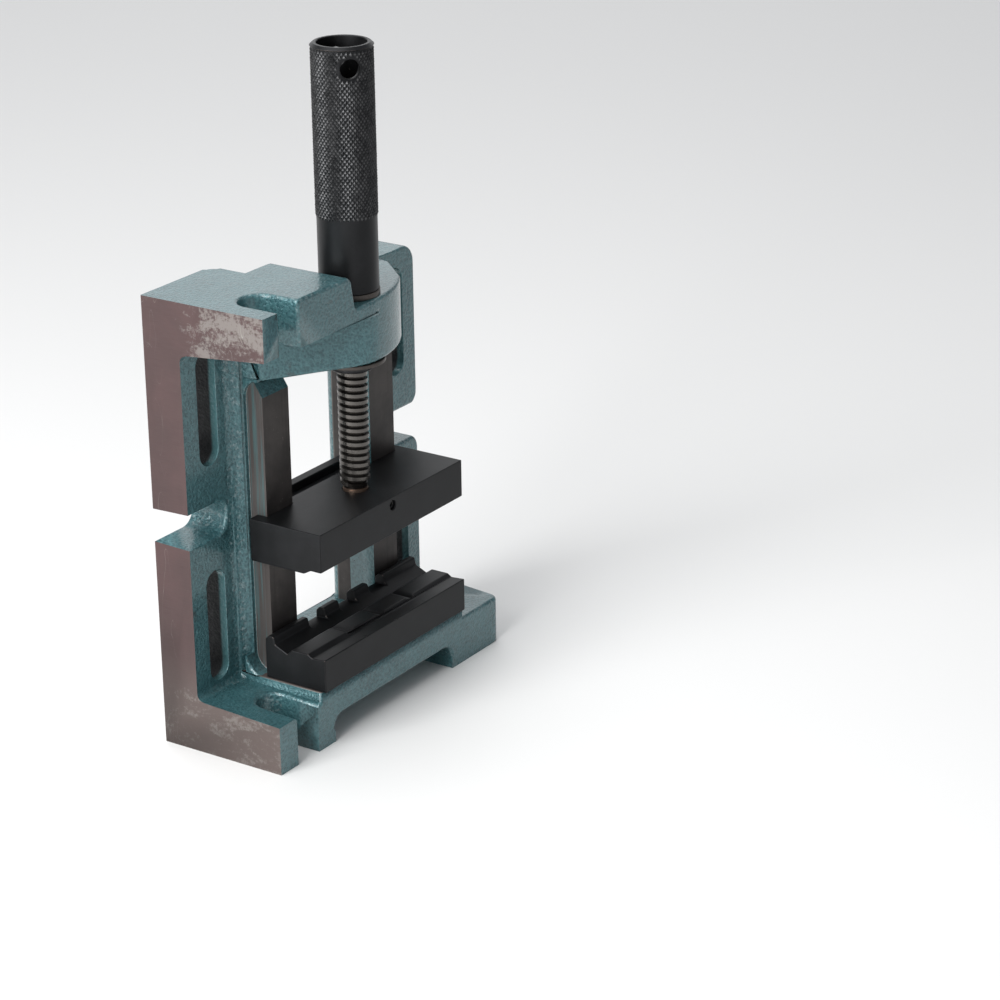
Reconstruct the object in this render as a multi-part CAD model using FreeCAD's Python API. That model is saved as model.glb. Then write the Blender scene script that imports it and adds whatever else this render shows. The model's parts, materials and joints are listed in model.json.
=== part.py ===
# Drill press vise, standing on its end face.
# Frame: +Z runs up along the lead screw, +X along the jaws, -Y towards the open front.
# The origin is on the foot face, in line with the lead screw.
# A "height" below is a distance from the base face towards the front.
import FreeCAD, Part
import math
import os
from FreeCAD import Vector

# ---- body casting ----
half_width = 79.0          # screw axis to each edge of the base flange
body_height = 191.5        # foot face to the top of the raised end
screw_height = 42.0        # base face to the screw axis
front_reach = 17.5         # screw axis to the tips of the arms
flange_thick = 18.0
right_top_drop = 16.5      # the side that has no arm stops this far below the top
corner_radius = 8.0        # cast corners of the free edges
foot_corner = 4.0          # cast corner of the foot plate
draft_rise = 4.0           # how much thicker an arm is at its root than at its tip
over = 1.0                 # how far a cutting or joining body runs past a face
edge_limit = 0.01          # a place or a length below this counts as equal or as nothing

foot_thick = 20.7          # foot plate at its front edge
foot_draft = 1.8
seat_rise = 4.3            # pad under the fixed jaw, above the foot's front edge
seat_margin = 1.0          # pad past each end of the fixed jaw
arch_inset = 7.8           # end of the jaws to the arch in the foot's underside, open at the front
arch_height = 11.0
arch_round = 6.0
arch_depth = 15.5

arm_thick = 17.6           # left arm at its tip
bridge_drop = 13.8         # top of the raised end to the bridge's top face
bridge_thick = 26.7
bridge_reach = 14.3        # screw axis to the raised block's front face
shelf_thick = 5.7          # bridge's front lip above the web
web_reach = 13.6           # screw axis to the front of the web
web_turn_x = 10.0          # straight left flank of the web ends here
web_turn_reach = 10.6
web_right_x = 13.0         # a point that the web's curved right flank passes through
web_right_reach = 11.6
web_flank_x = 31.0         # and a second one
web_flank_reach = 2.9
block_foot = 15.3          # side of the raised block, from the screw axis, at its foot
block_side = 16.9          # and at its top
block_round = 3.5
block_fillet = 1.9

rail_inner = 27.3          # screw axis to a rail's inner flank
rail_width = 16.9
rail_front = 30.2          # height of the rails' front face
rail_back = 17.5           # height of the rails' back face
rail_end_gap = 7.0         # rails' machined front stops this far below the bridge
rail_relief = 5.2          # depth of the sloped end of a rail
recess_inset = 8.2         # the keeper plate's channel reaches this far behind each rail
recess_round = 5.0
wall_step = 1.8            # wall that carries a rail, past the rail's outer side
wall_height = 22.0
cove_reach = 8.5           # how far the wall's concave foot spreads on the flange
wall_cove = 7.5            # concave ends of the walls at the foot and at the bridge
plate_cove = 3.0           # inside corners between the flange and the plates

slot_width = 11.6          # long slots in the flange
slot_shift = 1.3           # slots stand this far outside the middle of the flange's free strip
slot_foot_gap = 4.0        # foot plate to the end of a slot
slot_notch_gap = 21.2      # end of a lower slot to the middle of the open notch
slot_lift = 2.8            # an upper slot is this much further from the notch
middle_shift = 0.25        # middle of the open notches below half of the height
notch_width = 14.0
notch_taper = 1.2          # extra width at the flange's front
notch_corner = 6.0

bolt_inset = 18.4          # edge of the flange to the open bolt slots of foot and arm
foot_slot_width = 14.0
arm_slot_width = 16.0
bolt_slot_end = 35.5       # height of the closed end of those slots

# ---- jaws ----
jaw_overhang = 5.8         # jaws past the rails' outer sides
jaw_back = 25.5            # height of the moving jaw's back face
moving_reach = 18.8        # screw axis to the moving jaw's front
moving_bottom = 75.4
moving_thick = 18.3
lip_start = 52.0           # the moving jaw's lower face steps up from here
lip_slope = 3.4
lip_rise = 1.9
rail_side_clear = 0.2      # jaw to the side of a rail
rail_face_clear = 0.1      # jaw and keeper plate to the faces of a rail
neck_gap = 5.3             # rail to the neck that joins the jaw to the keeper plate
neck_inset = 3.5           # neck's top and bottom inside the jaw's

fixed_back = 31.0
fixed_reach = 19.2
fixed_thick = 15.2         # seat to the main land
ridge_rise = 3.6           # back ridge above the main land
ridge_width = 4.4
ridge_chamfer = 1.6
ridge_lean = 0.6
cross_pitch = 21.0         # between the notches across the ridge
cross_width = 11.0
cross_depth = 4.4
groove_width = 6.0         # grooves across the main land, in line with the notches
groove_depth = 1.1
vee_start = 36.0           # V groove, from its back edge over its bottom to its front edge
vee_middle = 42.0
vee_end = 44.4
vee_back_rise = 0.3        # back edge of the V above the main land
vee_depth = 2.4
land_end = 52.6            # front edge of the main land
land_slope = 2.0
land_drop = 1.3
front_rise = 0.5           # front land climbs by this towards its edge

# ---- keeper plate and fasteners ----
keeper_thick = 4.5
keeper_side_clear = 0.4
keeper_end_inset = 1.2     # keeper plate shorter than the jaw at its lower end
keeper_top_inset = 0.2
keeper_round = 2.0
keeper_screw_x = 13.0
keeper_screw_r = 3.0
keeper_screw_depth = 12.0
screw_tip_gap = 1.0        # drilled hole past the tip of its screw
hex_head_r = 5.5
hex_head_thick = 4.0
hex_head_chamfer = 0.6     # corners of the hexagon taken off by a flat cone
hex_cone_rise = 3.0
washer_r = 5.8
washer_thick = 1.6
washer_split = 1.0
washer_twist = 12.0        # degrees
thread_clear = 0.05        # radial, for every threaded or located part
hole_clear = 0.4           # radial, for a clearance hole
seat_screw_x = 30.0
seat_screw_h = 38.0        # height of the fixed jaw's screws
seat_screw_r = 3.0
seat_screw_grip = 10.0     # length held in the jaw
seat_head_r = 5.0
seat_head_thick = 6.0
seat_head_sink = 1.0       # head below the foot face
seat_head_round = 0.6
hex_socket_r = 2.9
hex_socket_depth = 3.5

# ---- screw and handle ----
screw_r = 6.25
screw_neck_r = 5.3
screw_neck_top = 2.5       # neck seen above the moving jaw
screw_sink = 13.7          # neck held inside the moving jaw
screw_reach = 28.0         # screw's end above the nut thread
screw_chamfer = 0.9
lock_r = 2.0
lock_drop = 3.7            # lock screw below the jaw's top face
lock_sink = 1.2            # lock screw below the jaw's front face
lock_tip_r = 0.1
lock_tip_clear = 0.2
lock_socket_r = 1.1
lock_socket_depth = 2.0

washer_gap = 2.4           # thickness of the washer under the handle
handle_washer_rim = 0.3    # that washer past the handle's shank
handle_length = 100.4
handle_r = 12.7
handle_rim = 1.2           # chamfer of the open end
handle_step = 0.5          # small chamfers of the handle
shank_r = 12.2             # plain part below the knurling
knurl_length = 69.5
handle_bore_r = 10.1
nut_length = 9.9           # thread in the lower end of the handle, above the washer
journal_r = 9.0
journal_clear = 0.05
under_washer_r = 14.0
under_washer_thick = 1.5
ring_thick = 1.5
ring_r = 11.2
ring_groove_depth = 1.0
ring_gap = 7.0             # open part of the retaining ring
end_play = 0.1
journal_tail = 1.6         # journal below the retaining ring
tommy_r = 4.0
tommy_drop = 8.5           # cross hole below the handle's top
tommy_angle = 231.0        # direction of the cross hole about the screw axis, degrees

os.makedirs("parts", exist_ok=True)


def y_at(height):
    """Y of a height above the base face."""
    return screw_height - height


def block(x0, x1, h0, h1, z0, z1):
    return Part.makeBox(x1 - x0, h1 - h0, z1 - z0, Vector(x0, y_at(h1), z0))


def post(x, height, z0, z1, radius):
    return Part.makeCylinder(radius, z1 - z0, Vector(x, y_at(height), z0))


def wire_through(points):
    """Closed wire: a point joins to the next by a line, or by an arc when it carries a middle point."""
    edges = []
    for index, item in enumerate(points):
        start = item[0]
        middle = item[1]
        end = points[(index + 1) % len(points)][0]
        if middle is None:
            edges.append(Part.makeLine(start, end))
        else:
            edges.append(Part.Arc(start, middle, end).toShape())
    return Part.Wire(edges)


def plan_prism(outline, z0, z1):
    """Outline of (x, height) points, with an optional arc point (x, height) after each, raised along Z."""
    points = []
    for item in outline:
        start = Vector(item[0], y_at(item[1]), z0)
        middle = Vector(item[2], y_at(item[3]), z0) if len(item) == 4 else None
        points.append((start, middle))
    return Part.Face(wire_through(points)).extrude(Vector(0, 0, z1 - z0))


def side_prism(outline, x0, x1):
    """Outline of (height, z) points, with an optional arc point, run along X."""
    points = []
    for item in outline:
        start = Vector(x0, y_at(item[0]), item[1])
        middle = Vector(x0, y_at(item[2]), item[3]) if len(item) == 4 else None
        points.append((start, middle))
    return Part.Face(wire_through(points)).extrude(Vector(x1 - x0, 0, 0))


def front_prism(outline, h0, h1):
    """Outline of (x, z) points, with an optional arc point, run from one height to another."""
    points = []
    for item in outline:
        start = Vector(item[0], y_at(h0), item[1])
        middle = Vector(item[2], y_at(h0), item[3]) if len(item) == 4 else None
        points.append((start, middle))
    return Part.Face(wire_through(points)).extrude(Vector(0, h0 - h1, 0))


def mirrored(shape):
    return shape.mirror(Vector(0, 0, 0), Vector(1, 0, 0))


def rounded(shape, radius, wanted):
    """Fillet the edges whose middle point passes the test."""
    edges = [edge for edge in shape.Edges if wanted(edge.BoundBox.Center, edge)]
    return shape.makeFillet(radius, edges)


def is_upright(edge):
    box = edge.BoundBox
    return box.XLength < edge_limit and box.YLength < edge_limit and box.ZLength > edge_limit


def at_edge(value, target):
    return abs(value - target) < edge_limit


def across(x, h0, h1, z, radius):
    """Round bar square to the base face, between two heights."""
    return Part.makeCylinder(radius, h1 - h0, Vector(x, y_at(h0), z), Vector(0, -1, 0))


def inside_cove(x0, x1, height, z, radius, way):
    """Concave quarter round from a face at a height to a plate above (way 1) or below (way -1) it."""
    bend = radius * (1 - math.sqrt(0.5))
    return side_prism([(height - over, z + way * over), (height + radius, z + way * over),
                       (height + radius, z, height + bend, z - way * bend), (height, z - way * radius),
                       (height - over, z - way * radius)], x0, x1)


def hexagon(centre, axis, radius, length):
    """Hexagonal bar across whose corners the diameter is twice the radius."""
    rod = Part.Face(Part.makePolygon(
        [Vector(radius * math.cos(math.radians(a)), radius * math.sin(math.radians(a)), 0)
         for a in range(0, 361, 60)])).extrude(Vector(0, 0, length))
    rod.Placement = FreeCAD.Placement(centre, FreeCAD.Rotation(Vector(0, 0, 1), axis))
    return rod


def save(node, shape):
    solid = shape.removeSplitter()
    if len(solid.Solids) == 1:
        solid = solid.Solids[0]
    state = "valid" if solid.isValid() else "NOT VALID"
    print(node, state, len(solid.Solids), "solids", round(solid.Volume, 1))
    solid.exportStep("parts/" + node + ".step")
    return solid


# ---- places worked out from the sizes ----
body_depth = screw_height + front_reach
right_top = body_height - right_top_drop
foot_root = foot_thick + foot_draft
seat_top = foot_thick + seat_rise
arm_root_z = body_height - arm_thick - draft_rise
bridge_top = body_height - bridge_drop
bridge_bottom = bridge_top - bridge_thick
shelf_bottom = bridge_top - shelf_thick
bridge_front = screw_height + bridge_reach
web_front = screw_height + web_reach
web_turn_h = screw_height + web_turn_reach
web_right_h = screw_height + web_right_reach
web_flank_h = screw_height + web_flank_reach
rail_outer = rail_inner + rail_width
recess_half = rail_inner + recess_inset
wall_half = rail_outer + wall_step
jaw_half = rail_outer + jaw_overhang
arch_half = jaw_half - arch_inset
neck_half = rail_inner - neck_gap
moving_front = screw_height + moving_reach
fixed_front = screw_height + fixed_reach
rail_end = bridge_bottom - rail_end_gap
wall_foot = wall_half + cove_reach
cove_rise = wall_height - flange_thick
cove_radius = (cove_reach ** 2 + cove_rise ** 2) / (2 * cove_rise)
middle_height = body_height / 2 - middle_shift
slot_length = middle_height - slot_notch_gap - foot_root - slot_foot_gap
slot_offset = slot_notch_gap + slot_length / 2
slot_centre = (half_width + wall_half) / 2 + slot_shift
bolt_centre = half_width - bolt_inset
moving_top = moving_bottom + moving_thick
handle_bottom = bridge_top + washer_gap
handle_top = handle_bottom + handle_length
knurl_bottom = handle_top - knurl_length
thread_top = handle_bottom + nut_length
ring_top = bridge_bottom - under_washer_thick - end_play
ring_low = ring_top - ring_thick
journal_bottom = ring_low - journal_tail
ring_groove_r = journal_r - ring_groove_depth
screw_bottom = moving_top - screw_sink
screw_top = thread_top + screw_reach
land_top = seat_top + fixed_thick
ridge_top = land_top + ridge_rise
keeper_z = (moving_bottom + moving_top) / 2
keeper_front = rail_back - rail_face_clear
keeper_back = keeper_front - keeper_thick
head_front = keeper_back - washer_thick
lock_z = moving_top - lock_drop


# ---- body casting ----
def flange():
    left = block(-half_width, -recess_half, 0, flange_thick, 0, body_height)
    right = block(-recess_half, half_width, 0, flange_thick, 0, right_top)
    right = rounded(right, corner_radius, lambda c, e: at_edge(c.x, half_width) and at_edge(c.z, right_top))
    return left.fuse(right)


def rail_and_wall():
    """Right-hand rail with the wall behind it; the left one is its mirror image."""
    angle = math.asin(cove_reach / cove_radius) / 2
    middle_x = wall_foot - cove_radius * math.sin(angle)
    middle_h = flange_thick + cove_radius * (1 - math.cos(angle))
    inner = rail_outer - over
    low = flange_thick - over
    wall = plan_prism([(inner, low), (wall_foot, low), (wall_foot, flange_thick, middle_x, middle_h),
                       (wall_half, wall_height), (inner, wall_height)],
                      foot_root - over, shelf_bottom)
    bar = side_prism([(rail_back, foot_root - over), (rail_front, foot_root - over), (rail_front, rail_end),
                      (rail_front - rail_relief, bridge_bottom + over), (rail_back, bridge_bottom + over)],
                     rail_inner, rail_outer)
    return wall.fuse([bar, inside_cove(inner, wall_half, wall_height, bridge_bottom, wall_cove, 1),
                      inside_cove(inner, jaw_half + seat_margin, wall_height, seat_top, wall_cove, -1)])


def foot_plate():
    plate = side_prism([(0, 0), (body_depth, 0), (body_depth, foot_thick), (flange_thick, foot_root),
                        (0, foot_root)], -half_width, half_width)
    front = y_at(body_depth)
    plate = rounded(plate, foot_corner,
                    lambda c, e: is_upright(e) and at_edge(c.x, half_width) and at_edge(c.y, front))
    pad_half = jaw_half + seat_margin
    return plate.fuse(block(-pad_half, pad_half, flange_thick, body_depth, foot_thick - over, seat_top))


def foot_arch():
    bend = arch_round * (1 - math.sqrt(0.5))
    spring = arch_height - arch_round
    return front_prism([(-arch_half, -over), (arch_half, -over),
                        (arch_half, spring, arch_half - bend, arch_height - bend),
                        (arch_half - arch_round, arch_height), (-arch_half + arch_round, arch_height,
                                                                -arch_half + bend, arch_height - bend),
                        (-arch_half, spring)], body_depth - arch_depth, body_depth + over)


def raised_end():
    """Left arm, and the block beside the handle."""
    arm = side_prism([(0, body_height), (body_depth, body_height), (body_depth, body_height - arm_thick),
                      (flange_thick, arm_root_z), (0, arm_root_z)],
                     -half_width, -bolt_centre)
    shoulder = side_prism([(0, body_height), (bridge_front, body_height), (bridge_front, shelf_bottom),
                           (0, arm_root_z)],
                          -bolt_centre, -recess_half)
    inner = -recess_half - over
    fillet_z = bridge_top + block_fillet
    fillet_x = block_foot - block_fillet
    corner_z = body_height - block_round
    corner_x = block_side + block_round
    slant = math.sqrt(0.5)
    beside = front_prism([(inner, shelf_bottom), (-fillet_x, shelf_bottom),
                          (-fillet_x, bridge_top, -fillet_x - block_fillet * slant,
                           fillet_z - block_fillet * slant),
                          (-block_foot, fillet_z),
                          (-block_side, corner_z, -corner_x + block_round * slant,
                           corner_z + block_round * slant),
                          (-corner_x, body_height), (inner, body_height)], rail_back, bridge_front)
    return arm.fuse([shoulder, beside])


def bridge():
    """Web between the walls, curved round the screw, with a lip along its upper front edge."""
    arc_x = web_turn_x / 2
    arc_h = (web_front + web_turn_h) / 2 + (web_front - web_turn_h) / 4
    web = plan_prism([(-wall_half, rail_back), (-wall_half, wall_height), (-rail_outer, rail_front),
                      (-web_turn_x, web_turn_h, -arc_x, arc_h),
                      (0, web_front, web_right_x, web_right_h),
                      (web_flank_x, web_flank_h), (rail_outer, rail_front),
                      (wall_half, wall_height), (wall_half, rail_back)],
                     bridge_bottom, bridge_top)
    lip = plan_prism([(-recess_half - over, rail_front), (-recess_half - over, bridge_front),
                      (-(web_front - web_turn_h), bridge_front), (web_right_x, web_right_h),
                      (web_right_x, rail_front)],
                     shelf_bottom, bridge_top)
    return web.fuse(lip)


def slot_through_flange(x, z):
    straight = slot_length - slot_width
    half = slot_width / 2
    return front_prism([(x - half, z - straight / 2, x, z - slot_length / 2), (x + half, z - straight / 2),
                        (x + half, z + straight / 2, x, z + slot_length / 2), (x - half, z + straight / 2)],
                       -over, wall_height + over)


def open_notch(side, corner):
    """Open notch in the flange's edge, half way up; a cast corner is rounded."""
    half = notch_width / 2
    outer = half_width + over
    outlines = []
    for height, width in ((-over, half), (flange_thick + over, half + notch_taper / 2)):
        centre_x = wall_foot + width
        path = [(Vector(side * outer, y_at(height), middle_height - width), None),
                (Vector(side * centre_x, y_at(height), middle_height - width),
                 Vector(side * wall_foot, y_at(height), middle_height)),
                (Vector(side * centre_x, y_at(height), middle_height + width), None),
                (Vector(side * outer, y_at(height), middle_height + width), None)]
        outlines.append(wire_through(path))
    cut = Part.makeLoft(outlines, True, True)
    if corner > 0:
        for way in (-1, 1):
            z = middle_height + way * half
            square = block(half_width - corner, outer, -over, flange_thick + over,
                           min(z - way, z + way * corner), max(z - way, z + way * corner))
            keep = Part.makeCylinder(corner, flange_thick + 4 * over,
                                     Vector(half_width - corner, y_at(-2 * over), z + way * corner),
                                     Vector(0, -1, 0))
            cut = cut.fuse(square.cut(keep))
    return cut


def bolt_slot(width, z0, z1):
    half = width / 2
    end = bolt_slot_end + half
    front = body_depth + over
    return plan_prism([(-bolt_centre - half, end, -bolt_centre, bolt_slot_end), (-bolt_centre + half, end),
                       (-bolt_centre + half, front), (-bolt_centre - half, front)], z0, z1)


def keeper_recess():
    """Open-backed channel behind the rails, running out through the top."""
    reach = recess_half + recess_round
    bend = recess_round * (1 - math.sqrt(0.5))
    return plan_prism([(-reach, -over), (reach, -over), (reach, 0, recess_half + bend, bend),
                       (recess_half, recess_round), (recess_half, rail_back),
                       (-recess_half, rail_back), (-recess_half, recess_round, -recess_half - bend, bend),
                       (-reach, 0)], foot_root, body_height + over)


def body_casting():
    rail = rail_and_wall()
    body = flange().fuse([foot_plate(), raised_end(), bridge(), rail, mirrored(rail)])
    body = body.fuse([inside_cove(-half_width, -rail_outer, flange_thick, arm_root_z, plate_cove, 1),
                      inside_cove(-half_width, -rail_outer, flange_thick, foot_root, plate_cove, -1),
                      inside_cove(rail_outer, half_width, flange_thick, foot_root, plate_cove, -1)])
    cuts = [keeper_recess(), foot_arch(),
            block(-rail_inner, rail_inner, -over, rail_front + over, foot_root, bridge_bottom),
            open_notch(-1, 0), open_notch(1, notch_corner),
            bolt_slot(foot_slot_width, -over, seat_top + over),
            bolt_slot(arm_slot_width, arm_root_z - over, body_height + over),
            post(0, screw_height, bridge_bottom - over, body_height, journal_r + journal_clear)]
    for side in (-1, 1):
        for offset in (-slot_offset, slot_offset + slot_lift):
            cuts.append(slot_through_flange(side * slot_centre, middle_height + offset))
        x = side * seat_screw_x
        cuts.append(post(x, seat_screw_h, -over, seat_top + over, seat_screw_r + hole_clear))
        cuts.append(post(x, seat_screw_h, -over, seat_head_sink + seat_head_thick, seat_head_r + hole_clear))
    return body.cut(cuts)


# ---- jaws ----
def fixed_jaw():
    front_top = land_top - land_drop + front_rise
    ridge_front = fixed_back + ridge_width
    profile = [(fixed_back, seat_top), (fixed_front, seat_top), (fixed_front, front_top),
               (land_end + land_slope, land_top - land_drop), (land_end, land_top), (vee_end, land_top),
               (vee_middle, land_top - vee_depth), (vee_start, land_top + vee_back_rise),
               (ridge_front, ridge_top - ridge_lean), (ridge_front - ridge_lean, ridge_top),
               (fixed_back + ridge_chamfer, ridge_top), (fixed_back, ridge_top - ridge_chamfer)]
    jaw = side_prism(profile, -jaw_half, jaw_half)
    cuts = []
    for step in (-1, 0, 1):
        x = step * cross_pitch
        cuts.append(block(x - cross_width / 2, x + cross_width / 2, fixed_back - over, vee_middle,
                          ridge_top - cross_depth, ridge_top + over))
        cuts.append(vee_across(x, land_top, groove_width, groove_depth, vee_middle, fixed_front))
    for side in (-1, 1):
        cuts.append(post(side * seat_screw_x, seat_screw_h, seat_top - over,
                         seat_top + seat_screw_grip + screw_tip_gap, seat_screw_r + thread_clear))
    return jaw.cut(cuts)


def vee_across(x, top, width, depth, h0, h1):
    """V groove square to the jaw, cut from above; it opens to its width at the top."""
    spread = width / 2 * (depth + over) / depth
    return front_prism([(x, top - depth), (x + spread, top + over), (x - spread, top + over)],
                       h0 - over, h1 + over)


def moving_jaw():
    profile = [(jaw_back, moving_bottom), (lip_start, moving_bottom),
               (lip_start + lip_slope, moving_bottom + lip_rise), (moving_front, moving_bottom + lip_rise),
               (moving_front, moving_top), (jaw_back, moving_top)]
    jaw = side_prism(profile, -jaw_half, jaw_half)
    neck = block(-neck_half, neck_half, keeper_front, jaw_back + over,
                 moving_bottom + neck_inset, moving_top - neck_inset)
    jaw = jaw.fuse(neck)
    cuts = []
    for side in (-1, 1):
        inner = side * (rail_inner - rail_side_clear)
        outer = side * (rail_outer + rail_side_clear)
        cuts.append(block(min(inner, outer), max(inner, outer), jaw_back - over, rail_front + rail_face_clear,
                          moving_bottom - over, moving_top + over))
        cuts.append(across(side * keeper_screw_x, keeper_front - over,
                           keeper_front + keeper_screw_depth + screw_tip_gap,
                           keeper_z, keeper_screw_r + thread_clear))
    cuts.append(post(0, screw_height, screw_bottom - over, moving_top + over, screw_neck_r + thread_clear))
    cuts.append(across(0, screw_height, moving_front + over, lock_z, lock_r + thread_clear))
    return jaw.cut(cuts)


def keeper_plate():
    half = recess_half - keeper_side_clear
    plate = block(-half, half, keeper_back, keeper_front,
                  moving_bottom + keeper_end_inset, moving_top - keeper_top_inset)
    plate = rounded(plate, keeper_round, lambda c, e: at_edge(abs(c.x), half) and not is_upright(e)
                    and e.BoundBox.YLength > keeper_thick / 2)
    holes = [across(side * keeper_screw_x, keeper_back - over, keeper_front + over, keeper_z,
                    keeper_screw_r + hole_clear) for side in (-1, 1)]
    return plate.cut(holes)


def keeper_screw(side):
    x = side * keeper_screw_x
    back = head_front - hex_head_thick
    shank = across(x, head_front - over, keeper_front + keeper_screw_depth, keeper_z, keeper_screw_r)
    head = hexagon(Vector(x, y_at(back), keeper_z), Vector(0, -1, 0), hex_head_r, hex_head_thick)
    cone_r = hex_head_r - hex_head_chamfer
    cone = Part.makeCone(cone_r, cone_r + hex_cone_rise, hex_cone_rise,
                         Vector(x, y_at(back), keeper_z), Vector(0, -1, 0))
    cone = cone.fuse(across(x, back + hex_cone_rise, head_front, keeper_z, cone_r + hex_cone_rise))
    return shank.fuse(head.common(cone))


def spring_washer(side):
    x = side * keeper_screw_x
    ring = across(x, head_front, keeper_back, keeper_z, washer_r)
    ring = ring.cut(across(x, head_front - over, keeper_back + over, keeper_z, keeper_screw_r + hole_clear))
    split = block(x - washer_split / 2, x + washer_split / 2, head_front - over, keeper_back + over,
                  keeper_z, keeper_z + washer_r + over)
    split.rotate(Vector(x, y_at(head_front + washer_thick / 2), keeper_z), Vector(0, 0, 1), washer_twist)
    return ring.cut(split)


def seat_screw(side):
    x = side * seat_screw_x
    shoulder = seat_head_sink + seat_head_thick
    screw = post(x, seat_screw_h, shoulder - over, seat_top + seat_screw_grip, seat_screw_r)
    head = post(x, seat_screw_h, seat_head_sink, shoulder, seat_head_r)
    head = rounded(head, seat_head_round, lambda c, e: at_edge(c.z, seat_head_sink))
    socket = hexagon(Vector(x, y_at(seat_screw_h), seat_head_sink - over), Vector(0, 0, 1),
                     hex_socket_r, hex_socket_depth + over)
    return screw.fuse(head).cut(socket)


# ---- screw and handle ----
def lead_screw():
    neck_end = moving_top + screw_neck_top
    neck = post(0, screw_height, screw_bottom, neck_end + over, screw_neck_r)
    thread = post(0, screw_height, neck_end, screw_top, screw_r)
    rims = [edge for edge in thread.Edges if edge.BoundBox.ZLength < edge_limit]
    thread = thread.makeChamfer(screw_chamfer, rims)
    seat = Part.makeCone(lock_r, 0.0, lock_r, Vector(0, y_at(screw_height + screw_neck_r), lock_z),
                         Vector(0, 1, 0))
    return neck.fuse(thread).cut(seat)


def lock_screw():
    tip = screw_height + screw_neck_r
    back = moving_front - lock_sink
    body = across(0, tip, back, lock_z, lock_r)
    point_r = lock_r - lock_tip_clear
    point = Part.makeCone(point_r, lock_tip_r, point_r - lock_tip_r, Vector(0, y_at(tip), lock_z),
                          Vector(0, 1, 0))
    socket = hexagon(Vector(0, y_at(back + over), lock_z), Vector(0, 1, 0),
                     lock_socket_r, lock_socket_depth + over)
    return body.fuse(point).cut(socket)


def turned(profile):
    """Solid turned about the screw axis from (radius, z) points."""
    points = [Vector(r, 0, z) for r, z in profile]
    face = Part.Face(Part.makePolygon(points + [points[0]]))
    return face.revolve(Vector(0, 0, 0), Vector(0, 0, 1), 360)


def handle():
    bore = screw_r + thread_clear
    solid = turned([(bore, journal_bottom), (journal_r, journal_bottom), (journal_r, ring_low),
                    (ring_groove_r, ring_low), (ring_groove_r, ring_top), (journal_r, ring_top),
                    (journal_r, handle_bottom), (shank_r - handle_step, handle_bottom),
                    (shank_r, handle_bottom + handle_step), (shank_r, knurl_bottom),
                    (handle_r, knurl_bottom + handle_step), (handle_r, handle_top - handle_rim),
                    (handle_r - handle_rim, handle_top), (handle_bore_r + handle_step, handle_top),
                    (handle_bore_r, handle_top - handle_step),
                    (handle_bore_r, thread_top + handle_bore_r - bore), (bore, thread_top)])
    direction = Vector(math.cos(math.radians(tommy_angle)), math.sin(math.radians(tommy_angle)), 0)
    start = Vector(0, 0, handle_top - tommy_drop) - direction * (handle_r + over)
    return solid.cut(Part.makeCylinder(tommy_r, 2 * (handle_r + over), start, direction))


def ring_round_screw(outer_r, bore_r, z0, z1):
    ring = post(0, screw_height, z0, z1, outer_r)
    return ring.cut(post(0, screw_height, z0 - over, z1 + over, bore_r))


def retaining_ring():
    ring = ring_round_screw(ring_r, ring_groove_r + thread_clear, ring_low, ring_top)
    gap = block(-ring_gap / 2, ring_gap / 2, screw_height, screw_height + ring_r + over,
                ring_low - over, ring_top + over)
    return ring.cut(gap)


save("body_casting", body_casting())
save("fixed_jaw", fixed_jaw())
save("moving_jaw", moving_jaw())
save("keeper_plate", keeper_plate())
for name, side in (("left", -1), ("right", 1)):
    save("fixed_jaw_screw_" + name, seat_screw(side))
    save("keeper_screw_" + name, keeper_screw(side))
    save("keeper_spring_washer_" + name, spring_washer(side))
save("lead_screw", lead_screw())
save("jaw_lock_screw", lock_screw())
save("handle", handle())
journal_bore_r = journal_r + journal_clear
save("handle_washer", ring_round_screw(shank_r + handle_washer_rim, journal_bore_r,
                                       bridge_top, handle_bottom))
save("under_washer", ring_round_screw(under_washer_r, journal_bore_r, bridge_bottom - under_washer_thick,
                                      bridge_bottom))
save("retaining_ring", retaining_ring())
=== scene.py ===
import json
import math
import bmesh
import bpy
from mathutils import Matrix, Vector
from mathutils.bvhtree import BVHTree


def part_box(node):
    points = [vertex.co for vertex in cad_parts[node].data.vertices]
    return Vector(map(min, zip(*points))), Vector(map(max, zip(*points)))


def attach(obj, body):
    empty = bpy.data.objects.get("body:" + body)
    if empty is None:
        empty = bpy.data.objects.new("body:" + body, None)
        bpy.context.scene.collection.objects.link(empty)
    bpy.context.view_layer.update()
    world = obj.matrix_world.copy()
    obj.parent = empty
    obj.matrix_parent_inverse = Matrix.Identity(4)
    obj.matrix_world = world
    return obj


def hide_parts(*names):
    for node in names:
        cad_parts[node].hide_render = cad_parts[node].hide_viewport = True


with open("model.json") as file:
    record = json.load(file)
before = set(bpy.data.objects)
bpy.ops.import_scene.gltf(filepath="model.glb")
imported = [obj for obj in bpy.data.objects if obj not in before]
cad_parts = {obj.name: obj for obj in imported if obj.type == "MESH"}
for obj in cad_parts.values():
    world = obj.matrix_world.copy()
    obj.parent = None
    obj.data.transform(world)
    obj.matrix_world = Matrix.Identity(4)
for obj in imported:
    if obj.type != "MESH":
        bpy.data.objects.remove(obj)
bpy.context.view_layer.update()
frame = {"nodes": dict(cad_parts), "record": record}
mm = 0.001


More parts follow.
